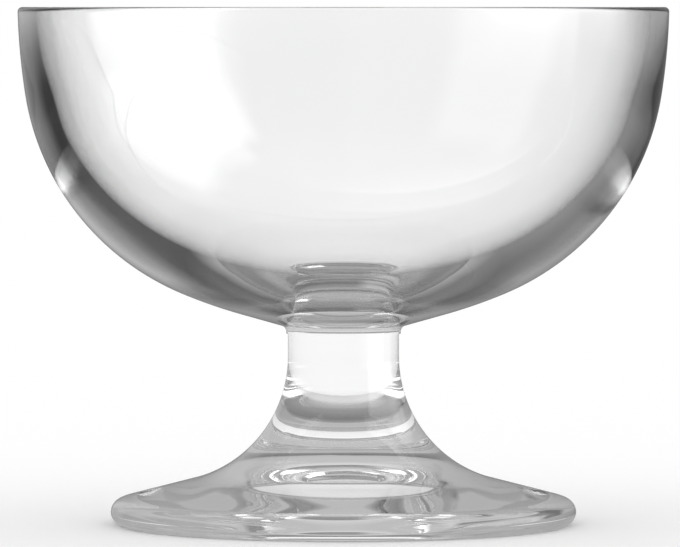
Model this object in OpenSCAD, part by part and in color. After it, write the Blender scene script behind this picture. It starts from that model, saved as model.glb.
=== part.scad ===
// Dessert coupe: a wide round bowl on a short stem and a flared foot, all of clear glass.
// Four turned pieces share one axis and are fused face to face. Lengths are in millimetres.

/* [Bowl] */
// Diameter across the outside of the rim
rim_d = 110; // [95:1:130]
// Height of the bowl, from the collar to the rim
bowl_h = 53.6; // [44:0.1:65]
// Thickness of the wall just below the rim
rim_wall = 3; // [2.2:0.1:4.5]
// Thickness of the glass at the middle of the bottom
bottom_wall = 5.2; // [4:0.1:8]
// Radius that rounds the two edges of the rim
rim_round = 0.8; // [0.3:0.1:1]
// How far the straight slope of the bottom runs out from the collar
base_slope_w = 5.8; // [3:0.1:9]

/* [Collar] */
// Diameter of the collar where the bowl sits on it
collar_top_d = 22.8; // [22:0.1:26]
// How far the collar's upright side stands out from the stem
collar_lip = 0.3; // [0.1:0.1:0.4]
// Height of the collar's upright side
collar_land = 0.3; // [0.1:0.1:1]
// Radius of the hollow round between the upright side and the bowl
collar_fillet = 1.1; // [0.6:0.1:1.3]

/* [Stem] */
// Diameter of the straight part of the stem
stem_d = 18.8; // [16:0.1:19]
// Length of the straight part of the stem
stem_straight = 3.8; // [1:0.1:20]
// Radius of the flare that runs from the stem into the foot
flare_r = 21.6; // [16:0.1:26]
// Part of the flare's turn that the stem carries, in degrees; the foot carries the rest
stem_flare_turn = 35; // [20:1:50]

/* [Foot] */
// Diameter across the edge of the foot
foot_d = 78.8; // [72:0.1:100]
// Slope of the foot's upper face, in degrees from level
foot_slope = 14.7; // [10:0.1:18]
// Radius of the upper round of the foot's edge
edge_r = 2.4; // [1.5:0.1:3.5]
// Radius of the shoulder between the sloping face and the edge
shoulder_r = 6; // [4:0.1:9]
// Height of the widest line of the edge above the table
edge_h = 2.1; // [1.4:0.1:3]
// How far the round under the edge draws in to the resting ring
under_round = 2.3; // [1.4:0.1:3]
// Width of the flat ring that the foot stands on
rest_w = 3.4; // [2:0.1:6]
// Height of the hollow inside the resting ring, at its middle
hollow_h = 6.5; // [2:0.1:8]

/* [Hidden] */

// Steps along each arc of an outline, and round a turned piece
arc_steps = 10;
$fn = 180;

// Turns of the bowl's outside, in degrees from straight down: at the rim, between its arcs, at its base
outer_turns = [1.5, 8.7, 67, 74.1];
// Radii of the three arcs of the outside, as shares of the bowl's height
outer_radius_shares = [2.1, 0.822, 1.63];
// Turns and radii of the bowl's inside, in the same way
inner_turns = [1.9, 19, 61, 90];
inner_radius_shares = [1.2, 0.73, 1.02];
// Turn at which the foot's shoulder meets its edge, in degrees from straight down
edge_turn = 67;
// Radius of the hollow's outer curve, as a share of both its curves together
hollow_lip_share = 0.52;

// Radii of the pieces on the axis
rim_r = rim_d / 2;
collar_top_r = collar_top_d / 2;
collar_r = stem_d / 2 + collar_lip;
foot_r = foot_d / 2;

// The foot's outline, worked out upwards from its edge
slope_turn = 90 - foot_slope;
shoulder_foot = [foot_r - edge_r * (1 - cos(edge_turn)), edge_h + edge_r * sin(edge_turn)];
shoulder_top = shoulder_foot
    + shoulder_r * [cos(slope_turn) - cos(edge_turn), sin(slope_turn) - sin(edge_turn)];
flare_foot_r = stem_d / 2 + flare_r * (1 - cos(slope_turn));
flare_foot_z = shoulder_top.y + (shoulder_top.x - flare_foot_r) * tan(foot_slope);

// Heights of the joints, from the table up
flare_top_z = flare_foot_z + flare_r * sin(slope_turn);
foot_top_z = flare_top_z - flare_r * sin(stem_flare_turn);
foot_top_r = stem_d / 2 + flare_r * (1 - cos(stem_flare_turn));
stem_top_z = flare_top_z + stem_straight;
base_turn = outer_turns[3];
fillet_top = [collar_r + collar_fillet * (1 - cos(base_turn)), stem_top_z + collar_land
    + collar_fillet * sin(base_turn)];
bowl_z = fillet_top.y + (collar_top_r - fillet_top.x) / tan(base_turn);
rim_z = bowl_z + bowl_h;

// Points of an arc round a centre, from one angle to another
function arc(centre, radius, from, to) =
    [for (i = [0:arc_steps]) centre + radius * [cos(from + (to - from) * i / arc_steps),
        sin(from + (to - from) * i / arc_steps)]];

// Points of a run of arcs that each begin where the last one ends, heading down and turning inwards
function arc_chain(turns, radii, i = 0, start = [0, 0]) =
    i == len(radii) ? [start] :
    let (run = arc(start - radii[i] * [cos(turns[i]), -sin(turns[i])], radii[i], -turns[i], -turns[i + 1]))
    concat([for (k = [0:arc_steps - 1]) run[k]], arc_chain(turns, radii, i + 1, run[arc_steps]));

// The same points, drawn out or in so that they run from one point to another
function stretched(points, from, to) =
    let (first = points[0], last = points[len(points) - 1])
    [for (p = points) [to.x + (from.x - to.x) * (p.x - last.x) / (first.x - last.x),
        to.y + (from.y - to.y) * (p.y - last.y) / (first.y - last.y)]];

function reversed(points) = [for (i = [len(points) - 1:-1:0]) points[i]];

// Part of the flare between two of its turns, from the upper to the lower
function flare(from, to) =
    arc([stem_d / 2 + flare_r, flare_top_z], flare_r, 180 + from, 180 + to);

// A solid turned about the axis
module turned(points) {
    rotate_extrude() polygon(points);
}

module bowl() {
    outside = stretched(arc_chain(outer_turns, outer_radius_shares), [rim_r, rim_z - rim_round],
        [collar_top_r + base_slope_w, bowl_z + base_slope_w / tan(base_turn)]);
    inside = stretched(arc_chain(inner_turns, inner_radius_shares),
        [rim_r - rim_wall, rim_z - rim_round], [0, bowl_z + bottom_wall]);
    rim_outer = arc([rim_r - rim_round, rim_z - rim_round], rim_round, 90, 0);
    rim_inner = arc([rim_r - rim_wall + rim_round, rim_z - rim_round], rim_round, 180, 90);
    color("aliceblue", 0.35)
        turned(concat(rim_outer, outside, [[collar_top_r, bowl_z], [0, bowl_z]], reversed(inside),
            rim_inner));
}

module collar() {
    fillet = arc([collar_r + collar_fillet, stem_top_z + collar_land], collar_fillet, 180,
        180 - base_turn);
    color("lightsteelblue", 0.5)
        turned(concat([[0, stem_top_z], [collar_r, stem_top_z]], fillet,
            [[collar_top_r, bowl_z], [0, bowl_z]]));
}

module stem() {
    color("lightblue", 0.4)
        turned(concat([[0, stem_top_z], [stem_d / 2, stem_top_z]], flare(0, stem_flare_turn),
            [[0, foot_top_z]]));
}

module foot() {
    shoulder = arc(shoulder_foot - shoulder_r * [cos(edge_turn), sin(edge_turn)], shoulder_r,
        slope_turn, edge_turn);
    edge = arc([foot_r - edge_r, edge_h], edge_r, edge_turn, 0);
    under = [for (i = [1:arc_steps]) [foot_r - under_round * (1 - cos(90 * i / arc_steps)),
        edge_h * (1 - sin(90 * i / arc_steps))]];
    hollow_r = foot_r - under_round - rest_w;
    hollow_turn = 2 * atan(hollow_h / hollow_r);
    lip_r = hollow_lip_share * hollow_r / sin(hollow_turn);
    dome_r = hollow_r / sin(hollow_turn) - lip_r;
    lip = arc([hollow_r, lip_r], lip_r, 270, 270 - hollow_turn);
    dome = arc([0, hollow_h - dome_r], dome_r, 90 - hollow_turn, 90);
    color("lightcyan", 0.4)
        turned(concat([[0, foot_top_z]], flare(stem_flare_turn, slope_turn), shoulder, edge, under,
            lip, dome));
}

bowl();
collar();
stem();
foot();
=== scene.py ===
# Dessert coupe in clear glass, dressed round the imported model. Lengths are in metres, angles in degrees.
import math

import bmesh
import bpy
import numpy as np
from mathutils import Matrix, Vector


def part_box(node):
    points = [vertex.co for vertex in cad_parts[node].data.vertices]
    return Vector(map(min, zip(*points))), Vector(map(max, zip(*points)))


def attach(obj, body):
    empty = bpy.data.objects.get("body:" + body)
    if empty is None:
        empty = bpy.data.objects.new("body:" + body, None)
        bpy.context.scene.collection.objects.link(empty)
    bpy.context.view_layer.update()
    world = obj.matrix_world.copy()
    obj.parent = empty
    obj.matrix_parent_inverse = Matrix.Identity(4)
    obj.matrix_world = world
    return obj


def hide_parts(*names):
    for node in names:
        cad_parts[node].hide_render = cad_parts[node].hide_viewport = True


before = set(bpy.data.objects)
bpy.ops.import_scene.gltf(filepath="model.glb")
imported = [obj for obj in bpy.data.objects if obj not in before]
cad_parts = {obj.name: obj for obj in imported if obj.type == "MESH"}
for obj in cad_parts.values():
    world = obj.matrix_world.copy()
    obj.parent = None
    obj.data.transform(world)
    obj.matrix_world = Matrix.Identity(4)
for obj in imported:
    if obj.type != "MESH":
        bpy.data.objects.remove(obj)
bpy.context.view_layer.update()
scene = bpy.context.scene

MM = 0.001
WHITE = (1, 1, 1, 1)

# Two points or heights that are closer than this are the same
SAME = 1e-3 * MM
# Added to a length that something is divided by
NOT_ZERO = 1e-12

# Steps along each arc of an outline, and round each piece
ARC_STEPS = 32
ROUND_STEPS = 288

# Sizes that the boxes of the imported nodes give
bowl_low, bowl_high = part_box("bowl")
collar_low, collar_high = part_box("collar")
stem_low, stem_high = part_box("stem")
_, foot_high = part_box("foot")
rim_r = bowl_high.x
rim_z = bowl_high.z
bowl_z = bowl_low.z
collar_top_r = collar_high.x
stem_top_z = collar_low.z
foot_top_z = stem_low.z
foot_top_r = stem_high.x
foot_r = foot_high.x

# Bowl: wall at the rim and the bottom, rounds, and the slope beside the collar
RIM_WALL = 3.0 * MM
BOTTOM_WALL = 5.2 * MM
RIM_ROUND = 0.8 * MM
BASE_SLOPE_W = 5.8 * MM
OUTER_TURNS = (1.5, 8.7, 67, 74.1)
OUTER_RADIUS_SHARES = (2.1, 0.822, 1.63)
INNER_TURNS = (1.9, 19, 61, 90)
INNER_RADIUS_SHARES = (1.2, 0.73, 1.02)

# Collar and stem
STEM_R = 9.4 * MM
COLLAR_LIP = 0.3 * MM
COLLAR_LAND = 0.3 * MM
COLLAR_FILLET = 1.1 * MM
STEM_FLARE_TURN = 35

# Foot: slope, shoulder, rounded edge, resting ring and the hollow inside it
FOOT_SLOPE = 14.7
EDGE_R = 2.4 * MM
EDGE_H = 2.1 * MM
EDGE_TURN = 67
SHOULDER_R = 6 * MM
UNDER_ROUND = 2.3 * MM
REST_W = 3.4 * MM
HOLLOW_H = 6.5 * MM
HOLLOW_LIP_SHARE = 0.52


def cosd(angle):
    return math.cos(math.radians(angle))


def sind(angle):
    return math.sin(math.radians(angle))


# Values worked out from the sizes above, as the construction does
flare_r = (foot_top_r - STEM_R) / (1 - cosd(STEM_FLARE_TURN))
flare_top_z = foot_top_z + flare_r * sind(STEM_FLARE_TURN)
slope_turn = 90 - FOOT_SLOPE
collar_r = STEM_R + COLLAR_LIP
base_turn = OUTER_TURNS[-1]


def arc(centre, radius, start, end, steps=ARC_STEPS):
    """Points (r, z) of an arc round a centre, from one angle to another."""
    turn = np.radians(np.linspace(start, end, steps + 1))
    return np.stack([centre[0] + radius * np.cos(turn), centre[1] + radius * np.sin(turn)], 1)


def arc_chain(turns, radii):
    """Points of arcs that each begin where the last one ends, heading down and turning inwards."""
    start = np.zeros(2)
    runs = []
    for turn, next_turn, radius in zip(turns[:-1], turns[1:], radii):
        centre = start - radius * np.array([cosd(turn), -sind(turn)])
        run = arc(centre, radius, -turn, -next_turn)
        runs.append(run[:-1])
        start = run[-1]
    runs.append(start[None])
    return np.concatenate(runs)


def stretched(points, start, end):
    """The same points, drawn out or in so that they run from one point to another."""
    start = np.array(start)
    end = np.array(end)
    return end + (start - end) * (points - points[-1]) / (points[0] - points[-1])


def flare(start, end):
    """Part of the flare between two of its turns, from the upper to the lower."""
    return arc((STEM_R + flare_r, flare_top_z), flare_r, 180 + start, 180 + end)


def bowl_outline():
    outside = stretched(
        arc_chain(OUTER_TURNS, OUTER_RADIUS_SHARES),
        (rim_r, rim_z - RIM_ROUND),
        (collar_top_r + BASE_SLOPE_W, bowl_z + BASE_SLOPE_W / math.tan(math.radians(base_turn))),
    )
    inside = stretched(
        arc_chain(INNER_TURNS, INNER_RADIUS_SHARES),
        (rim_r - RIM_WALL, rim_z - RIM_ROUND),
        (0, bowl_z + BOTTOM_WALL),
    )
    rim_outer = arc((rim_r - RIM_ROUND, rim_z - RIM_ROUND), RIM_ROUND, 90, 0)
    rim_inner = arc((rim_r - RIM_WALL + RIM_ROUND, rim_z - RIM_ROUND), RIM_ROUND, 180, 90)
    base = [(collar_top_r, bowl_z), (0, bowl_z)]
    return np.concatenate([inside[::-1], rim_inner, rim_outer, outside, base])


def collar_outline():
    fillet = arc(
        (collar_r + COLLAR_FILLET, stem_top_z + COLLAR_LAND), COLLAR_FILLET, 180, 180 - base_turn
    )
    top = [(0, bowl_z), (collar_top_r, bowl_z)]
    bottom = [(collar_r, stem_top_z), (STEM_R, stem_top_z), (0, stem_top_z)]
    return np.concatenate([top, fillet[::-1], bottom])


def stem_outline():
    top = [(0, stem_top_z), (STEM_R, stem_top_z)]
    return np.concatenate([top, flare(0, STEM_FLARE_TURN), [(0, foot_top_z)]])


def foot_outline():
    shoulder_foot = np.array([foot_r - EDGE_R * (1 - cosd(EDGE_TURN)), EDGE_H + EDGE_R * sind(EDGE_TURN)])
    shoulder_centre = shoulder_foot - SHOULDER_R * np.array([cosd(EDGE_TURN), sind(EDGE_TURN)])
    shoulder = arc(shoulder_centre, SHOULDER_R, slope_turn, EDGE_TURN)
    edge = arc((foot_r - EDGE_R, EDGE_H), EDGE_R, EDGE_TURN, 0)
    turn = np.radians(np.linspace(0, 90, ARC_STEPS + 1))[1:]
    under = np.stack([foot_r - UNDER_ROUND * (1 - np.cos(turn)), EDGE_H * (1 - np.sin(turn))], 1)
    hollow_r = foot_r - UNDER_ROUND - REST_W
    hollow_turn = 2 * math.degrees(math.atan(HOLLOW_H / hollow_r))
    lip_r = HOLLOW_LIP_SHARE * hollow_r / sind(hollow_turn)
    dome_r = hollow_r / sind(hollow_turn) - lip_r
    lip = arc((hollow_r, lip_r), lip_r, 270, 270 - hollow_turn, 2 * ARC_STEPS)
    dome = arc((0, HOLLOW_H - dome_r), dome_r, 90 - hollow_turn, 90, 2 * ARC_STEPS)
    top = [(0, foot_top_z)]
    return np.concatenate([top, flare(STEM_FLARE_TURN, slope_turn), shoulder, edge, under, lip, dome])


# Faint waves that fire polishing leaves in the foot: depth, counts round the axis, phases in radians, and
# the length along the outline of the wave with the lowest count
WAVE_DEPTH = 0.015 * MM
WAVE_COUNTS = (2, 3, 5, 7)
WAVE_PHASES = (0.4, 2.1, 4.4, 1.2)
WAVE_LENGTH = 9 * MM
# Length over which the waves fade out, and the calm strip at the edge and on the axis
WAVE_FADE = 6 * MM
WAVE_CALM = 1 * MM
# Below the first height, on the resting ring, there are no waves. Below the second, on the edge and the
# whole underside, they don't fade towards the joint.
WAVE_RING_Z = 0.05 * MM
WAVE_UNDER_Z = EDGE_H + 0.9 * HOLLOW_H

# Edges that turn more than this stay sharp
SHARP_ANGLE = math.radians(30)


def without_repeats(outline):
    """The outline without points that repeat the one before."""
    keep = [outline[0]]
    for point in outline[1:]:
        if np.hypot(*(point - keep[-1])) > SAME:
            keep.append(point)
    return np.array(keep)


def waves(outline, mask):
    """How far each ring point moves out from the outline, by ring and by step round the axis."""
    step = np.hypot(*np.diff(outline, axis=0).T)
    length = np.concatenate([[0], np.cumsum(step)])
    turn = np.arange(ROUND_STEPS) * 2 * math.pi / ROUND_STEPS
    total = np.zeros((len(outline), ROUND_STEPS))
    for count, phase in zip(WAVE_COUNTS, WAVE_PHASES):
        along = 2 * math.pi * length / (WAVE_LENGTH * count / WAVE_COUNTS[0]) + phase
        total += np.sin(along)[:, None] * np.sin(count * turn + phase * along.mean())[None, :] / count
    return WAVE_DEPTH * mask[:, None] * total


def turned(name, outline, joint_heights, joint_r, wave_mask=None):
    """A closed solid turned about the axis. Faces on a fused joint take the second material."""
    outline = without_repeats(outline)
    shift = np.zeros((len(outline), ROUND_STEPS))
    if wave_mask is not None:
        shift = waves(outline, wave_mask(outline))
    along = np.gradient(outline, axis=0)
    along /= np.hypot(along[:, 0], along[:, 1])[:, None] + NOT_ZERO
    across = np.stack([along[:, 1], -along[:, 0]], 1)
    turn = np.arange(ROUND_STEPS) * 2 * math.pi / ROUND_STEPS
    verts = []
    rings = []
    for (r, z), normal, row in zip(outline, across, shift):
        start = len(verts)
        if r < SAME:
            verts.append((0.0, 0.0, float(z)))
            rings.append([start])
            continue
        ring_r = r + normal[0] * row
        ring_z = z + normal[1] * row
        verts += list(zip(ring_r * np.cos(turn), ring_r * np.sin(turn), ring_z))
        rings.append(range(start, start + ROUND_STEPS))
    faces = []
    materials = []
    for k, (upper, lower) in enumerate(zip(rings[:-1], rings[1:])):
        (r0, z0), (r1, z1) = outline[k], outline[k + 1]
        flat = abs(z0 - z1) < SAME and max(r0, r1) < joint_r + SAME
        joint = flat and any(abs(z0 - height) < SAME for height in joint_heights)
        for i in range(ROUND_STEPS):
            j = (i + 1) % ROUND_STEPS
            above = [upper[i % len(upper)], upper[j % len(upper)]]
            below = [lower[j % len(lower)], lower[i % len(lower)]]
            faces.append(list(dict.fromkeys(above + below)))
            materials.append(1 if joint else 0)
    mesh = bpy.data.meshes.new(name)
    mesh.from_pydata(verts, [], faces)
    mesh.polygons.foreach_set("material_index", materials)
    mesh.polygons.foreach_set("use_smooth", [True] * len(faces))
    piece = bpy.data.objects.new(name, mesh)
    scene.collection.objects.link(piece)
    work = bmesh.new()
    work.from_mesh(mesh)
    bmesh.ops.recalc_face_normals(work, faces=work.faces)
    for edge in work.edges:
        edge.smooth = len(edge.link_faces) < 2 or edge.calc_face_angle(0) < SHARP_ANGLE
    work.to_mesh(mesh)
    work.free()
    return piece


def node_input(tree, socket, value):
    if isinstance(value, (int, float, tuple)):
        socket.default_value = value
    else:
        tree.links.new(value, socket)


def math_node(tree, operation, first, second=0.0):
    node = tree.nodes.new("ShaderNodeMath")
    node.operation = operation
    node_input(tree, node.inputs[0], first)
    node_input(tree, node.inputs[1], second)
    return node.outputs[0]


def mixed(tree, factor, low, high):
    """low where the factor is 0, high where it is 1."""
    node = tree.nodes.new("ShaderNodeMix")
    node.data_type = "FLOAT"
    node_input(tree, node.inputs[0], factor)
    node_input(tree, node.inputs[2], low)
    node_input(tree, node.inputs[3], high)
    return node.outputs[0]


def ramp(tree, value, start, end, low=0.0, high=1.0):
    """low before start, high after end, and an even change between them."""
    node = tree.nodes.new("ShaderNodeMapRange")
    node_input(tree, node.inputs["Value"], value)
    for name, number in (("From Min", start), ("From Max", end), ("To Min", low), ("To Max", high)):
        node.inputs[name].default_value = number
    return node.outputs["Result"]


def levels(tree, value, stops):
    """Runs through (value, level) stops, evenly between each two."""
    level = stops[0][1]
    for (start, low), (end, high) in zip(stops[:-1], stops[1:]):
        level = math_node(tree, "ADD", ramp(tree, value, start, end, 0, high - low), level)
    return level


def product(tree, *values):
    result = values[0]
    for value in values[1:]:
        result = math_node(tree, "MULTIPLY", result, value)
    return result


# Painted shade in the glass's colour, standing in for dark edges where it is seen at a low angle: how much,
# by facing value, which is 0 face on and 1 edge on, and by height above the table, which is most near the
# rim, a little in the foot and nothing between them
PAINTED_SHADE_FACING_STOPS = ((0.5, 0.0), (0.72, 0.38), (0.86, 0.22))
PAINTED_SHADE_HEIGHT_STOPS = ((22 * MM, 0.25), (31 * MM, 0.0), (50 * MM, 0.0), (66 * MM, 1.0))
# Flow of the glass, in waves per metre, and what varies along it: tint, and roughness of the polish
FLOW_SCALE = 60
FLOW_TINT = (0.986, 0.989, 0.989, 1)
FLOW_ROUGHNESS = (0.006, 0.012)
GLASS_IOR = 1.5


def glass_material():
    """Clear pressed glass: polish and tint vary a trace along the flow of the glass, and painted shade lowers
    its colour where it is seen at a low angle.
    """
    material = bpy.data.materials.new("clear_glass")
    material.use_nodes = True
    tree = material.node_tree
    shader = tree.nodes["Principled BSDF"]
    shader.inputs["Transmission Weight"].default_value = 1
    shader.inputs["IOR"].default_value = GLASS_IOR
    place = tree.nodes.new("ShaderNodeTexCoord")
    flow = tree.nodes.new("ShaderNodeTexNoise")
    flow.inputs["Scale"].default_value = FLOW_SCALE
    flow.inputs["Detail"].default_value = 1
    tree.links.new(place.outputs["Object"], flow.inputs["Vector"])
    tint = tree.nodes.new("ShaderNodeValToRGB")
    tint.color_ramp.elements[0].color = FLOW_TINT
    tint.color_ramp.elements[1].color = WHITE
    tree.links.new(flow.outputs["Fac"], tint.inputs["Fac"])
    low_angle = tree.nodes.new("ShaderNodeLayerWeight")
    parts = tree.nodes.new("ShaderNodeSeparateXYZ")
    tree.links.new(place.outputs["Object"], parts.inputs[0])
    painted_shade_by_facing = levels(tree, low_angle.outputs["Facing"], PAINTED_SHADE_FACING_STOPS)
    painted_shade_by_height = levels(tree, parts.outputs["Z"], PAINTED_SHADE_HEIGHT_STOPS)
    # Painted shade: the base colour is scaled down by facing and by height
    share_after_painted_shade = math_node(tree, "SUBTRACT", 1.0, product(tree, painted_shade_by_facing, painted_shade_by_height))
    painted_shade_colour = tree.nodes.new("ShaderNodeVectorMath")
    painted_shade_colour.operation = "SCALE"
    tree.links.new(tint.outputs["Color"], painted_shade_colour.inputs[0])
    tree.links.new(share_after_painted_shade, painted_shade_colour.inputs["Scale"])
    tree.links.new(painted_shade_colour.outputs["Vector"], shader.inputs["Base Color"])
    polish = tree.nodes.new("ShaderNodeMapRange")
    polish.inputs["To Min"].default_value, polish.inputs["To Max"].default_value = FLOW_ROUGHNESS
    tree.links.new(flow.outputs["Fac"], polish.inputs["Value"])
    tree.links.new(polish.outputs["Result"], shader.inputs["Roughness"])
    return material


def joint_material():
    """Fused joints: one melt of glass has no surface there, so nothing shows."""
    material = bpy.data.materials.new("fused_joint")
    material.use_nodes = True
    shader = material.node_tree.nodes["Principled BSDF"]
    shader.inputs["Base Color"].default_value = WHITE
    shader.inputs["Alpha"].default_value = 0
    return material


# Pieces
glass = glass_material()
joint = joint_material()


def foot_waves(outline):
    """Share of the waves at each point of the foot's outline, less towards the joint and the edge."""
    r = outline[:, 0]
    z = outline[:, 1]
    from_joint = np.clip((r - foot_top_r) / WAVE_FADE, 0, 1)
    from_joint = np.where(z < WAVE_UNDER_Z, 1, from_joint)
    from_edge = np.clip((foot_r - WAVE_CALM - r) / WAVE_FADE, 0, 1)
    return np.where((z < WAVE_RING_Z) | (r < WAVE_CALM), 0, from_joint * from_edge)


pieces = {
    "bowl": turned("bowl_glass", bowl_outline(), (bowl_z,), collar_top_r),
    "collar": turned("collar_glass", collar_outline(), (bowl_z, stem_top_z), collar_top_r),
    "stem": turned("stem_glass", stem_outline(), (stem_top_z, foot_top_z), foot_top_r),
    "foot": turned("foot_glass", foot_outline(), (foot_top_z,), foot_top_r, foot_waves),
}
for node, piece in pieces.items():
    piece.data.materials.append(glass)
    piece.data.materials.append(joint)
    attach(piece, "root")
    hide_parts(node)


# Surroundings, by elevation above the horizon and by azimuth, which is 0 behind the glass and grows to the
# right. Light that comes straight through the glass meets a white backdrop, with a grey band over the horizon
# and another one low down, and under that the table.
THROUGH_STOPS = (
    (-90, 0.6),
    (-80, 0.45),
    (-70, 0.85),
    (-58, 0.85),
    (-51, 0.3),
    (-44, 0.3),
    (-37, 0.8),
    (-28, 1.0),
    (1, 1.0),
    (8, 0.38),
    (24, 0.34),
    (31, 0.95),
    (50, 1.0),
)
# Light that crosses the surface fewer times than this stayed in one wall or in the foot
ONE_WALL = 3.5
# Light that was thrown back and forth inside one wall or the foot comes from dark flags beside the backdrop
INNER_STOPS = (
    (-60, 0.3),
    (-45, 0.12),
    (-25, 0.08),
    (-16, 0.1),
    (-9, 0.25),
    (-3, 0.5),
    (12, 0.53),
    (30, 0.53),
    (40, 0.7),
)
# The flags are a little lighter low on the right: azimuths and elevations between which that changes, and
# how much lighter
INNER_RIGHT = ((0, 30), (-10, -2), 0.22)
# The room that shows as reflections on the glass
ROOM_STOPS = ((-20, 0.05), (5, 0.25), (40, 0.3), (60, 0.6))
# What reaches the floor through the glass, so that a faint shadow stays
FLOOR_THROUGH = 0.88

# Soft boxes that show as reflections. For each: the azimuths between which its left and right edges fade,
# the elevations between which its lower and upper edges fade, and its level.
SOFT_BOXES = (
    ((60, 70), (124, 131), (-6, 3), (50, 57), 2.5),
    ((88, 91), (120, 150), (-13, -3), (2, 8), 1.5),
    ((44, 56), (60, 70), (4, 16), (50, 62), 1.3),
    ((-42, -34), (-14, -6), (-38, -30), (30, 38), 0.3),
)
# Lights at both sides, which show in light thrown about in the solid foot
SIDE_LIGHTS = (
    ((92, 100), (134, 142), (-50, -40), (30, 45), 1.3),
    ((-142, -134), (-96, -86), (-50, -40), (30, 45), 1.3),
)
# Dark flags beside them, at both sides and left of the middle: each takes its level away
SIDE_FLAGS = (
    ((-44, -34), (-20, -10), (-24, -18), (-3, 3), -0.06),
    ((-70, -64), (-54, -48), (-4, 1), (16, 21), -0.4),
    ((74, 80), (90, 96), (-12, -6), (16, 22), -0.25),
)
# Strip light overhead, in parts of a direction's length: where its far edge starts and ends, how wide it
# fades on this side, its lean, and its level
STRIP = (0.12, 0.15, 0.34, 0.3, 1.1)
# Heights between which it appears, and places to the right between which it ends
STRIP_Z = (0.5, 0.7)
STRIP_X = (-0.2, 0.3)


def soft_box(tree, azimuth, elevation, left, right, low, high, level):
    """Its level between the inner ends of the four pairs, and 0 outside the outer ends."""
    return product(
        tree,
        ramp(tree, azimuth, *left),
        ramp(tree, azimuth, *right, 1, 0),
        ramp(tree, elevation, *low),
        ramp(tree, elevation, *high, 1, 0),
        level,
    )


def strip_light(tree, x, y, z):
    """A strip that glows more towards its far edge, and ends there."""
    edge, edge_end, fade, lean, level = STRIP
    across = math_node(tree, "ADD", y, product(tree, x, lean))
    glow = ramp(tree, across, edge - fade, edge, 0, level)
    cut = ramp(tree, across, edge, edge_end, 1, 0)
    return product(tree, glow, cut, ramp(tree, z, *STRIP_Z), ramp(tree, x, *STRIP_X, 1, 0))


def surroundings():
    """White for the camera and for the floor, and a plain studio for what the glass bends or reflects."""
    world = bpy.data.worlds.new("studio")
    world.use_nodes = True
    world.cycles.sampling_method = "NONE"
    tree = world.node_tree
    place = tree.nodes.new("ShaderNodeTexCoord")
    parts = tree.nodes.new("ShaderNodeSeparateXYZ")
    tree.links.new(place.outputs["Generated"], parts.inputs[0])
    x, y, z = parts.outputs
    degrees = math.degrees(1)
    elevation = math_node(tree, "MULTIPLY", math_node(tree, "ARCSINE", z), degrees)
    azimuth = math_node(tree, "MULTIPLY", math_node(tree, "ARCTAN2", x, y), degrees)
    path = tree.nodes.new("ShaderNodeLightPath")
    room = levels(tree, elevation, ROOM_STOPS)
    for box in SOFT_BOXES:
        room = math_node(tree, "ADD", room, soft_box(tree, azimuth, elevation, *box))
    room = math_node(tree, "ADD", room, strip_light(tree, x, y, z))
    right, low, lighter = INNER_RIGHT
    side = product(tree, ramp(tree, azimuth, *right, 0, lighter), ramp(tree, elevation, *low, 1, 0))
    inner = math_node(tree, "ADD", levels(tree, elevation, INNER_STOPS), side)
    for box in SIDE_LIGHTS + SIDE_FLAGS:
        inner = math_node(tree, "ADD", inner, soft_box(tree, azimuth, elevation, *box))
    one_wall = math_node(tree, "LESS_THAN", path.outputs["Transmission Depth"], ONE_WALL)
    thrown = math_node(tree, "MINIMUM", path.outputs["Glossy Depth"], 1.0)
    straight = levels(tree, elevation, THROUGH_STOPS)
    through = mixed(tree, thrown, straight, mixed(tree, one_wall, room, inner))
    seen = mixed(tree, path.outputs["Is Transmission Ray"], room, through)
    from_floor = math_node(tree, "MINIMUM", path.outputs["Diffuse Depth"], 1.0)
    seen = mixed(tree, from_floor, seen, FLOOR_THROUGH)
    plain = math_node(tree, "MAXIMUM", path.outputs["Is Camera Ray"], path.outputs["Is Diffuse Ray"])
    background = tree.nodes["Background"]
    background.inputs["Color"].default_value = WHITE
    tree.links.new(mixed(tree, plain, seen, 1.0), background.inputs["Strength"])
    return world


scene.world = surroundings()

# Floor: a wide white disc that takes the soft shadow. Through the glass, a pale glowing card shows under the
# foot, which fades between two radii, and beyond it the studio. Where light was thrown about in the glass,
# the card's glow is set lower by radius, as painted shade under the glass.
FLOOR_R = 1.6
FLOOR_STEPS = 96
CARD_R = (42 * MM, 54 * MM)
CARD_LEVEL = 0.9
# Painted shade: light that was thrown about in the foot meets the card's glow, set lower under it by radius:
# radii and levels
FOOT_SHADE = (
    (8 * MM, 0.5),
    (13 * MM, 0.3),
    (17 * MM, 0.24),
    (21 * MM, 0.18),
    (25 * MM, 0.25),
    (30 * MM, 0.35),
    (38 * MM, 0.42),
)
# The same for light that was thrown about in the bowl and its thick bottom
BOWL_SHADE = ((20 * MM, 0.42), (28 * MM, 0.2))


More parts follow.
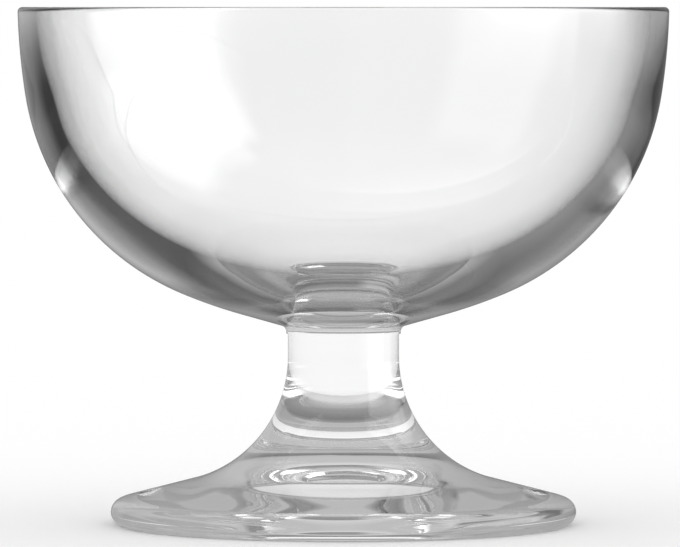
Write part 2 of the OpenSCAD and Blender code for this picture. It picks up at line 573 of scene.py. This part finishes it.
def floor_material():
    material = bpy.data.materials.new("white_floor")
    material.use_nodes = True
    tree = material.node_tree
    white = tree.nodes["Principled BSDF"]
    white.inputs["Base Color"].default_value = WHITE
    white.inputs["Roughness"].default_value = 1
    white.inputs["Specular IOR Level"].default_value = 0
    place = tree.nodes.new("ShaderNodeTexCoord")
    distance = tree.nodes.new("ShaderNodeVectorMath")
    distance.operation = "LENGTH"
    tree.links.new(place.outputs["Object"], distance.inputs[0])
    path = tree.nodes.new("ShaderNodeLightPath")
    in_foot = math_node(tree, "LESS_THAN", path.outputs["Transmission Depth"], ONE_WALL)
    thrown = math_node(tree, "MINIMUM", path.outputs["Glossy Depth"], 1.0)
    card = tree.nodes.new("ShaderNodeEmission")
    card.inputs["Color"].default_value = WHITE
    radius = distance.outputs["Value"]
    shade = mixed(tree, in_foot, levels(tree, radius, BOWL_SHADE), levels(tree, radius, FOOT_SHADE))
    # Painted shade: the card's glow, lower by radius where light was thrown about in the glass
    tree.links.new(mixed(tree, thrown, CARD_LEVEL, shade), card.inputs["Strength"])
    clear = tree.nodes.new("ShaderNodeBsdfTransparent")
    far = tree.nodes.new("ShaderNodeMixShader")
    tree.links.new(ramp(tree, radius, *CARD_R), far.inputs["Fac"])
    tree.links.new(card.outputs["Emission"], far.inputs[1])
    tree.links.new(clear.outputs["BSDF"], far.inputs[2])
    plain = math_node(tree, "MAXIMUM", path.outputs["Is Camera Ray"], path.outputs["Is Diffuse Ray"])
    whole = tree.nodes.new("ShaderNodeMixShader")
    tree.links.new(plain, whole.inputs["Fac"])
    tree.links.new(far.outputs["Shader"], whole.inputs[1])
    tree.links.new(white.outputs["BSDF"], whole.inputs[2])
    tree.links.new(whole.outputs["Shader"], tree.nodes["Material Output"].inputs["Surface"])
    return material


floor_mesh = bpy.data.meshes.new("floor")
floor_work = bmesh.new()
bmesh.ops.create_circle(floor_work, cap_ends=True, segments=FLOOR_STEPS, radius=FLOOR_R)
floor_work.to_mesh(floor_mesh)
floor_work.free()
floor = bpy.data.objects.new("floor", floor_mesh)
scene.collection.objects.link(floor)
floor_mesh.materials.append(floor_material())

# Camera: at the height of the rim, as the photograph's flat rim line shows, a little tilted down. Pixels are
# those of the photograph, in which the glass stands on AXIS_X.
CAMERA_DISTANCE = 1.124
SENSOR_W = 36
CLIP_START = 0.01
PIXELS_PER_MM = 5.9137
PHOTO_W = 680
PHOTO_MIDDLE_X = 340
PHOTO_MIDDLE_Y = 273.5
AXIS_X = 343.45
RIM_Y = 7
tilt = math.atan2((PHOTO_MIDDLE_Y - RIM_Y) / PIXELS_PER_MM * MM, CAMERA_DISTANCE)
lens = bpy.data.cameras.new("camera")
lens.sensor_width = SENSOR_W
lens.lens = PIXELS_PER_MM * CAMERA_DISTANCE / MM * SENSOR_W / PHOTO_W
lens.shift_x = (PHOTO_MIDDLE_X - AXIS_X) / PHOTO_W
lens.clip_start = CLIP_START
camera = bpy.data.objects.new("camera", lens)
camera.location = (0, -CAMERA_DISTANCE, rim_z)
camera.rotation_euler = (math.pi / 2 - tilt, 0, 0)
scene.collection.objects.link(camera)
scene.camera = camera

# Clear glass needs many bounces, and plain colours in the picture
BOUNCES = 24
scene.cycles.max_bounces = BOUNCES
scene.cycles.glossy_bounces = BOUNCES
scene.cycles.transmission_bounces = BOUNCES
scene.view_settings.view_transform = "Standard"
